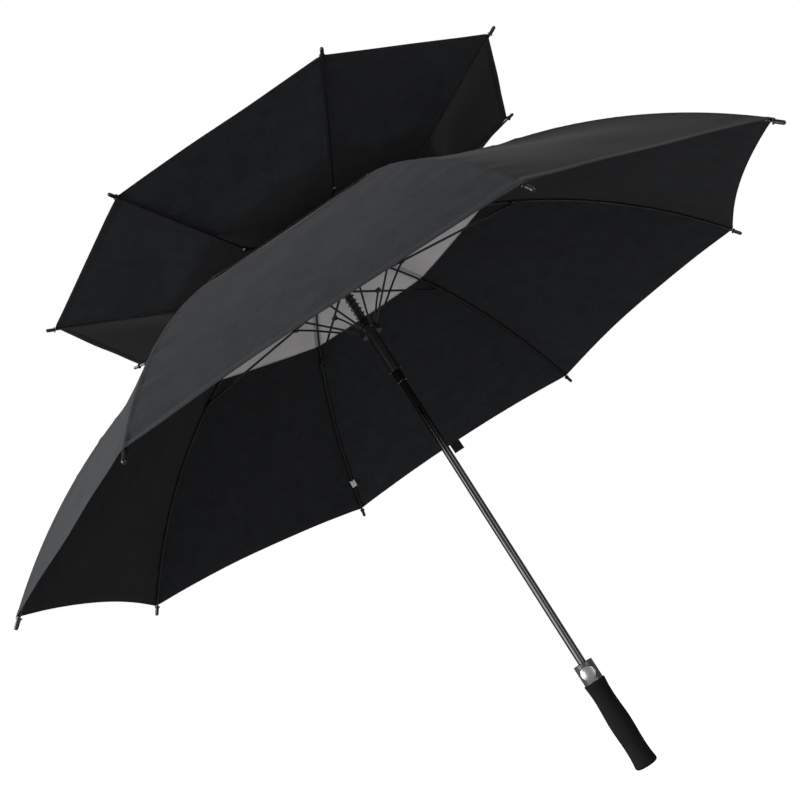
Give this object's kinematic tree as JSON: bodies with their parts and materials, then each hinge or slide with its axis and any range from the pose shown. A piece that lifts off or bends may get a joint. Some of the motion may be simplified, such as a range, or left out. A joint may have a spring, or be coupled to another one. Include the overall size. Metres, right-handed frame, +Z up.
{
  "type": "golf umbrella",
  "caption": "Open golf umbrella with a main canopy, a vent cap and a turned-up wind canopy on folding ribs, a sliding runner and a foam grip with a push button.",
  "frame": {"origin": "centre of the grip's end face", "axes": "+Z up the shaft towards the ferrule; the push button faces -Y; rib 1 lies 22.5 degrees clockwise of +X seen from above"},
  "size_m": [1.2242, 1.2242, 0.9922],
  "materials": {
    "shaft_steel": "gloss black lacquer",
    "black_plastic": "satin moulded",
    "collar_plastic": "satin moulded dark grey",
    "pin_steel": "plain",
    "foam": "matte EVA foam",
    "spring_steel": "black oxide",
    "canopy_cloth": "woven pongee",
    "vent_cloth": "silver-coated underside, black outside",
    "strap_webbing": "hook and loop",
    "button_metal": "satin",
    "rib_fibreglass": "fibreglass rod",
    "link_steel": "black coated"
  },
  "bodies": {
    "root": {"shaft": "shaft_steel", "ferrule": "black_plastic", "top_notch": "black_plastic", "notch_pins": "pin_steel", "handle_collar": "collar_plastic", "grip": "foam", "grip_end_cap": "black_plastic", "button_spring": "spring_steel", "main_canopy": "canopy_cloth", "vent_cap": "vent_cloth", "wind_canopy": "canopy_cloth", "tie_strap": "strap_webbing"},
    "runner": {"runner": "black_plastic", "runner_pins": "pin_steel", "runner_sleeve": "shaft_steel", "main_spring": "spring_steel"},
    "hub": {"hub": "black_plastic", "hub_pins": "pin_steel"},
    "button": {"button": "button_metal", "latch_plate": "pin_steel"},
    "rib_inner_1": {"rib_inner_1": "rib_fibreglass"},
    "rib_outer_1": {"rib_outer_1": "rib_fibreglass"},
    "stretcher_1": {"stretcher_1": "link_steel"},
    "strut_1": {"strut_1": "link_steel"},
    "vent_rib_1": {"vent_rib_1": "rib_fibreglass"},
    "rib_inner_2": {"rib_inner_2": "rib_fibreglass"},
    "rib_outer_2": {"rib_outer_2": "rib_fibreglass"},
    "stretcher_2": {"stretcher_2": "link_steel"},
    "strut_2": {"strut_2": "link_steel"},
    "vent_rib_2": {"vent_rib_2": "rib_fibreglass"},
    "rib_inner_3": {"rib_inner_3": "rib_fibreglass"},
    "rib_outer_3": {"rib_outer_3": "rib_fibreglass"},
    "stretcher_3": {"stretcher_3": "link_steel"},
    "strut_3": {"strut_3": "link_steel"},
    "vent_rib_3": {"vent_rib_3": "rib_fibreglass"},
    "rib_inner_4": {"rib_inner_4": "rib_fibreglass"},
    "rib_outer_4": {"rib_outer_4": "rib_fibreglass"},
    "stretcher_4": {"stretcher_4": "link_steel"},
    "strut_4": {"strut_4": "link_steel"},
    "vent_rib_4": {"vent_rib_4": "rib_fibreglass"},
    "rib_inner_5": {"rib_inner_5": "rib_fibreglass"},
    "rib_outer_5": {"rib_outer_5": "rib_fibreglass"},
    "stretcher_5": {"stretcher_5": "link_steel"},
    "strut_5": {"strut_5": "link_steel"},
    "vent_rib_5": {"vent_rib_5": "rib_fibreglass"},
    "rib_inner_6": {"rib_inner_6": "rib_fibreglass"},
    "rib_outer_6": {"rib_outer_6": "rib_fibreglass"},
    "stretcher_6": {"stretcher_6": "link_steel"},
    "strut_6": {"strut_6": "link_steel"},
    "vent_rib_6": {"vent_rib_6": "rib_fibreglass"},
    "rib_inner_7": {"rib_inner_7": "rib_fibreglass"},
    "rib_outer_7": {"rib_outer_7": "rib_fibreglass"},
    "stretcher_7": {"stretcher_7": "link_steel"},
    "strut_7": {"strut_7": "link_steel"},
    "vent_rib_7": {"vent_rib_7": "rib_fibreglass"},
    "rib_inner_8": {"rib_inner_8": "rib_fibreglass"},
    "rib_outer_8": {"rib_outer_8": "rib_fibreglass"},
    "stretcher_8": {"stretcher_8": "link_steel"},
    "strut_8": {"strut_8": "link_steel"},
    "vent_rib_8": {"vent_rib_8": "rib_fibreglass"}
  },
  "joints": [
    {"name": "runner_slide", "type": "slide", "parent": "root", "child": "runner", "axis": [0, 0, 1], "range_m": [-0.5137, 0], "deforming": ["main_canopy", "vent_cap", "wind_canopy", "tie_strap"]},
    {"name": "hub_slide", "type": "slide", "parent": "root", "child": "hub", "axis": [0, 0, 1], "range_m": [-0.56681, 0], "deforming": ["main_spring"]},
    {"name": "rib_inner_hinge_1", "type": "hinge", "parent": "root", "child": "rib_inner_1", "pos_m": [0.00924, -0.00383, 0.914], "axis": [-0.3827, -0.9239, 0], "range_deg": [-73.49, 0]},
    {"name": "rib_outer_hinge_1", "type": "hinge", "parent": "rib_inner_1", "child": "rib_outer_1", "pos_m": [0.30396, -0.1259, 0.849], "axis": [-0.3827, -0.9239, 0], "range_deg": [0, 23.39]},
    {"name": "stretcher_hinge_1", "type": "hinge", "parent": "hub", "child": "stretcher_1", "pos_m": [0.01111, 0.00016, 0.84], "axis": [-0.3827, -0.9239, 0], "range_deg": [0, 84.34]},
    {"name": "strut_hinge_1", "type": "hinge", "parent": "runner", "child": "strut_1", "pos_m": [0.01349, -0.00559, 0.763], "axis": [-0.3827, -0.9239, 0], "range_deg": [0, 49.25]},
    {"name": "rib_inner_hinge_2", "type": "hinge", "parent": "root", "child": "rib_inner_2", "pos_m": [0.00924, 0.00383, 0.914], "axis": [0.3827, -0.9239, 0], "range_deg": [-73.49, 0]},
    {"name": "rib_outer_hinge_2", "type": "hinge", "parent": "rib_inner_2", "child": "rib_outer_2", "pos_m": [0.30396, 0.1259, 0.849], "axis": [0.3827, -0.9239, 0], "range_deg": [0, 23.39]},
    {"name": "stretcher_hinge_2", "type": "hinge", "parent": "hub", "child": "stretcher_2", "pos_m": [0.00774, 0.00797, 0.84], "axis": [0.3827, -0.9239, 0], "range_deg": [0, 84.34]},
    {"name": "strut_hinge_2", "type": "hinge", "parent": "runner", "child": "strut_2", "pos_m": [0.01349, 0.00559, 0.763], "axis": [0.3827, -0.9239, 0], "range_deg": [0, 49.25]},
    {"name": "rib_inner_hinge_3", "type": "hinge", "parent": "root", "child": "rib_inner_3", "pos_m": [0.00383, 0.00924, 0.914], "axis": [0.9239, -0.3827, 0], "range_deg": [-73.49, 0]},
    {"name": "rib_outer_hinge_3", "type": "hinge", "parent": "rib_inner_3", "child": "rib_outer_3", "pos_m": [0.1259, 0.30396, 0.849], "axis": [0.9239, -0.3827, 0], "range_deg": [0, 23.39]},
    {"name": "stretcher_hinge_3", "type": "hinge", "parent": "hub", "child": "stretcher_3", "pos_m": [-0.00016, 0.01111, 0.84], "axis": [0.9239, -0.3827, 0], "range_deg": [0, 84.34]},
    {"name": "strut_hinge_3", "type": "hinge", "parent": "runner", "child": "strut_3", "pos_m": [0.00559, 0.01349, 0.763], "axis": [0.9239, -0.3827, 0], "range_deg": [0, 49.25]},
    {"name": "rib_inner_hinge_4", "type": "hinge", "parent": "root", "child": "rib_inner_4", "pos_m": [-0.00383, 0.00924, 0.914], "axis": [0.9239, 0.3827, 0], "range_deg": [-73.49, 0]},
    {"name": "rib_outer_hinge_4", "type": "hinge", "parent": "rib_inner_4", "child": "rib_outer_4", "pos_m": [-0.1259, 0.30396, 0.849], "axis": [0.9239, 0.3827, 0], "range_deg": [0, 23.39]},
    {"name": "stretcher_hinge_4", "type": "hinge", "parent": "hub", "child": "stretcher_4", "pos_m": [-0.00797, 0.00774, 0.84], "axis": [0.9239, 0.3827, 0], "range_deg": [0, 84.34]},
    {"name": "strut_hinge_4", "type": "hinge", "parent": "runner", "child": "strut_4", "pos_m": [-0.00559, 0.01349, 0.763], "axis": [0.9239, 0.3827, 0], "range_deg": [0, 49.25]},
    {"name": "rib_inner_hinge_5", "type": "hinge", "parent": "root", "child": "rib_inner_5", "pos_m": [-0.00924, 0.00383, 0.914], "axis": [0.3827, 0.9239, 0], "range_deg": [-73.49, 0]},
    {"name": "rib_outer_hinge_5", "type": "hinge", "parent": "rib_inner_5", "child": "rib_outer_5", "pos_m": [-0.30396, 0.1259, 0.849], "axis": [0.3827, 0.9239, 0], "range_deg": [0, 23.39]},
    {"name": "stretcher_hinge_5", "type": "hinge", "parent": "hub", "child": "stretcher_5", "pos_m": [-0.01111, -0.00016, 0.84], "axis": [0.3827, 0.9239, 0], "range_deg": [0, 84.34]},
    {"name": "strut_hinge_5", "type": "hinge", "parent": "runner", "child": "strut_5", "pos_m": [-0.01349, 0.00559, 0.763], "axis": [0.3827, 0.9239, 0], "range_deg": [0, 49.25]},
    {"name": "rib_inner_hinge_6", "type": "hinge", "parent": "root", "child": "rib_inner_6", "pos_m": [-0.00924, -0.00383, 0.914], "axis": [-0.3827, 0.9239, 0], "range_deg": [-73.49, 0]},
    {"name": "rib_outer_hinge_6", "type": "hinge", "parent": "rib_inner_6", "child": "rib_outer_6", "pos_m": [-0.30396, -0.1259, 0.849], "axis": [-0.3827, 0.9239, 0], "range_deg": [0, 23.39]},
    {"name": "stretcher_hinge_6", "type": "hinge", "parent": "hub", "child": "stretcher_6", "pos_m": [-0.00774, -0.00797, 0.84], "axis": [-0.3827, 0.9239, 0], "range_deg": [0, 84.34]},
    {"name": "strut_hinge_6", "type": "hinge", "parent": "runner", "child": "strut_6", "pos_m": [-0.01349, -0.00559, 0.763], "axis": [-0.3827, 0.9239, 0], "range_deg": [0, 49.25]},
    {"name": "rib_inner_hinge_7", "type": "hinge", "parent": "root", "child": "rib_inner_7", "pos_m": [-0.00383, -0.00924, 0.914], "axis": [-0.9239, 0.3827, 0], "range_deg": [-73.49, 0]},
    {"name": "rib_outer_hinge_7", "type": "hinge", "parent": "rib_inner_7", "child": "rib_outer_7", "pos_m": [-0.1259, -0.30396, 0.849], "axis": [-0.9239, 0.3827, 0], "range_deg": [0, 23.39]},
    {"name": "stretcher_hinge_7", "type": "hinge", "parent": "hub", "child": "stretcher_7", "pos_m": [0.00016, -0.01111, 0.84], "axis": [-0.9239, 0.3827, 0], "range_deg": [0, 84.34]},
    {"name": "strut_hinge_7", "type": "hinge", "parent": "runner", "child": "strut_7", "pos_m": [-0.00559, -0.01349, 0.763], "axis": [-0.9239, 0.3827, 0], "range_deg": [0, 49.25]},
    {"name": "rib_inner_hinge_8", "type": "hinge", "parent": "root", "child": "rib_inner_8", "pos_m": [0.00383, -0.00924, 0.914], "axis": [-0.9239, -0.3827, 0], "range_deg": [-73.49, 0]},
    {"name": "rib_outer_hinge_8", "type": "hinge", "parent": "rib_inner_8", "child": "rib_outer_8", "pos_m": [0.1259, -0.30396, 0.849], "axis": [-0.9239, -0.3827, 0], "range_deg": [0, 23.39]},
    {"name": "stretcher_hinge_8", "type": "hinge", "parent": "hub", "child": "stretcher_8", "pos_m": [0.00797, -0.00774, 0.84], "axis": [-0.9239, -0.3827, 0], "range_deg": [0, 84.34]},
    {"name": "strut_hinge_8", "type": "hinge", "parent": "runner", "child": "strut_8", "pos_m": [0.00559, -0.01349, 0.763], "axis": [-0.9239, -0.3827, 0], "range_deg": [0, 49.25]},
    {"name": "vent_rib_hinge_1", "type": "hinge", "parent": "rib_inner_1", "child": "vent_rib_1", "pos_m": [0.1857, -0.07692, 0.913], "axis": [-0.3827, -0.9239, 0], "range_deg": [-30, 0]},
    {"name": "vent_rib_hinge_2", "type": "hinge", "parent": "rib_inner_2", "child": "vent_rib_2", "pos_m": [0.1857, 0.07692, 0.913], "axis": [0.3827, -0.9239, 0], "range_deg": [-30, 0]},
    {"name": "vent_rib_hinge_3", "type": "hinge", "parent": "rib_inner_3", "child": "vent_rib_3", "pos_m": [0.07692, 0.1857, 0.913], "axis": [0.9239, -0.3827, 0], "range_deg": [-30, 0]},
    {"name": "vent_rib_hinge_4", "type": "hinge", "parent": "rib_inner_4", "child": "vent_rib_4", "pos_m": [-0.07692, 0.1857, 0.913], "axis": [0.9239, 0.3827, 0], "range_deg": [-30, 0]},
    {"name": "vent_rib_hinge_5", "type": "hinge", "parent": "rib_inner_5", "child": "vent_rib_5", "pos_m": [-0.1857, 0.07692, 0.913], "axis": [0.3827, 0.9239, 0], "range_deg": [-30, 0]},
    {"name": "vent_rib_hinge_6", "type": "hinge", "parent": "rib_inner_6", "child": "vent_rib_6", "pos_m": [-0.1857, -0.07692, 0.913], "axis": [-0.3827, 0.9239, 0], "range_deg": [-30, 0]},
    {"name": "vent_rib_hinge_7", "type": "hinge", "parent": "rib_inner_7", "child": "vent_rib_7", "pos_m": [-0.07692, -0.1857, 0.913], "axis": [-0.9239, 0.3827, 0], "range_deg": [-30, 0]},
    {"name": "vent_rib_hinge_8", "type": "hinge", "parent": "rib_inner_8", "child": "vent_rib_8", "pos_m": [0.07692, -0.1857, 0.913], "axis": [-0.9239, -0.3827, 0], "range_deg": [-30, 0]},
    {"name": "button_press", "type": "slide", "parent": "root", "child": "button", "axis": [0, 1, 0], "range_m": [0, 0.003], "stiffness_N_per_m": 500, "springref_m": -0.001, "deforming": ["button_spring"]}
  ],
  "couplings": [
    {"joint": "hub_slide", "follows": "runner_slide", "ratio": 1.1034},
    {"joint": "rib_inner_hinge_1", "follows": "runner_slide", "rad_per_m": 2.4966},
    {"joint": "rib_outer_hinge_1", "follows": "runner_slide", "rad_per_m": -0.79472},
    {"joint": "stretcher_hinge_1", "follows": "runner_slide", "rad_per_m": -2.8653},
    {"joint": "strut_hinge_1", "follows": "runner_slide", "rad_per_m": -1.6732},
    {"joint": "rib_inner_hinge_2", "follows": "runner_slide", "rad_per_m": 2.4966},
    {"joint": "rib_outer_hinge_2", "follows": "runner_slide", "rad_per_m": -0.79472},
    {"joint": "stretcher_hinge_2", "follows": "runner_slide", "rad_per_m": -2.8653},
    {"joint": "strut_hinge_2", "follows": "runner_slide", "rad_per_m": -1.6732},
    {"joint": "rib_inner_hinge_3", "follows": "runner_slide", "rad_per_m": 2.4966},
    {"joint": "rib_outer_hinge_3", "follows": "runner_slide", "rad_per_m": -0.79472},
    {"joint": "stretcher_hinge_3", "follows": "runner_slide", "rad_per_m": -2.8653},
    {"joint": "strut_hinge_3", "follows": "runner_slide", "rad_per_m": -1.6732},
    {"joint": "rib_inner_hinge_4", "follows": "runner_slide", "rad_per_m": 2.4966},
    {"joint": "rib_outer_hinge_4", "follows": "runner_slide", "rad_per_m": -0.79472},
    {"joint": "stretcher_hinge_4", "follows": "runner_slide", "rad_per_m": -2.8653},
    {"joint": "strut_hinge_4", "follows": "runner_slide", "rad_per_m": -1.6732},
    {"joint": "rib_inner_hinge_5", "follows": "runner_slide", "rad_per_m": 2.4966},
    {"joint": "rib_outer_hinge_5", "follows": "runner_slide", "rad_per_m": -0.79472},
    {"joint": "stretcher_hinge_5", "follows": "runner_slide", "rad_per_m": -2.8653},
    {"joint": "strut_hinge_5", "follows": "runner_slide", "rad_per_m": -1.6732},
    {"joint": "rib_inner_hinge_6", "follows": "runner_slide", "rad_per_m": 2.4966},
    {"joint": "rib_outer_hinge_6", "follows": "runner_slide", "rad_per_m": -0.79472},
    {"joint": "stretcher_hinge_6", "follows": "runner_slide", "rad_per_m": -2.8653},
    {"joint": "strut_hinge_6", "follows": "runner_slide", "rad_per_m": -1.6732},
    {"joint": "rib_inner_hinge_7", "follows": "runner_slide", "rad_per_m": 2.4966},
    {"joint": "rib_outer_hinge_7", "follows": "runner_slide", "rad_per_m": -0.79472},
    {"joint": "stretcher_hinge_7", "follows": "runner_slide", "rad_per_m": -2.8653},
    {"joint": "strut_hinge_7", "follows": "runner_slide", "rad_per_m": -1.6732},
    {"joint": "rib_inner_hinge_8", "follows": "runner_slide", "rad_per_m": 2.4966},
    {"joint": "rib_outer_hinge_8", "follows": "runner_slide", "rad_per_m": -0.79472},
    {"joint": "stretcher_hinge_8", "follows": "runner_slide", "rad_per_m": -2.8653},
    {"joint": "strut_hinge_8", "follows": "runner_slide", "rad_per_m": -1.6732},
    {"joint": "vent_rib_hinge_2", "follows": "vent_rib_hinge_1", "ratio": 1},
    {"joint": "vent_rib_hinge_3", "follows": "vent_rib_hinge_1", "ratio": 1},
    {"joint": "vent_rib_hinge_4", "follows": "vent_rib_hinge_1", "ratio": 1},
    {"joint": "vent_rib_hinge_5", "follows": "vent_rib_hinge_1", "ratio": 1},
    {"joint": "vent_rib_hinge_6", "follows": "vent_rib_hinge_1", "ratio": 1},
    {"joint": "vent_rib_hinge_7", "follows": "vent_rib_hinge_1", "ratio": 1},
    {"joint": "vent_rib_hinge_8", "follows": "vent_rib_hinge_1", "ratio": 1}
  ]
}
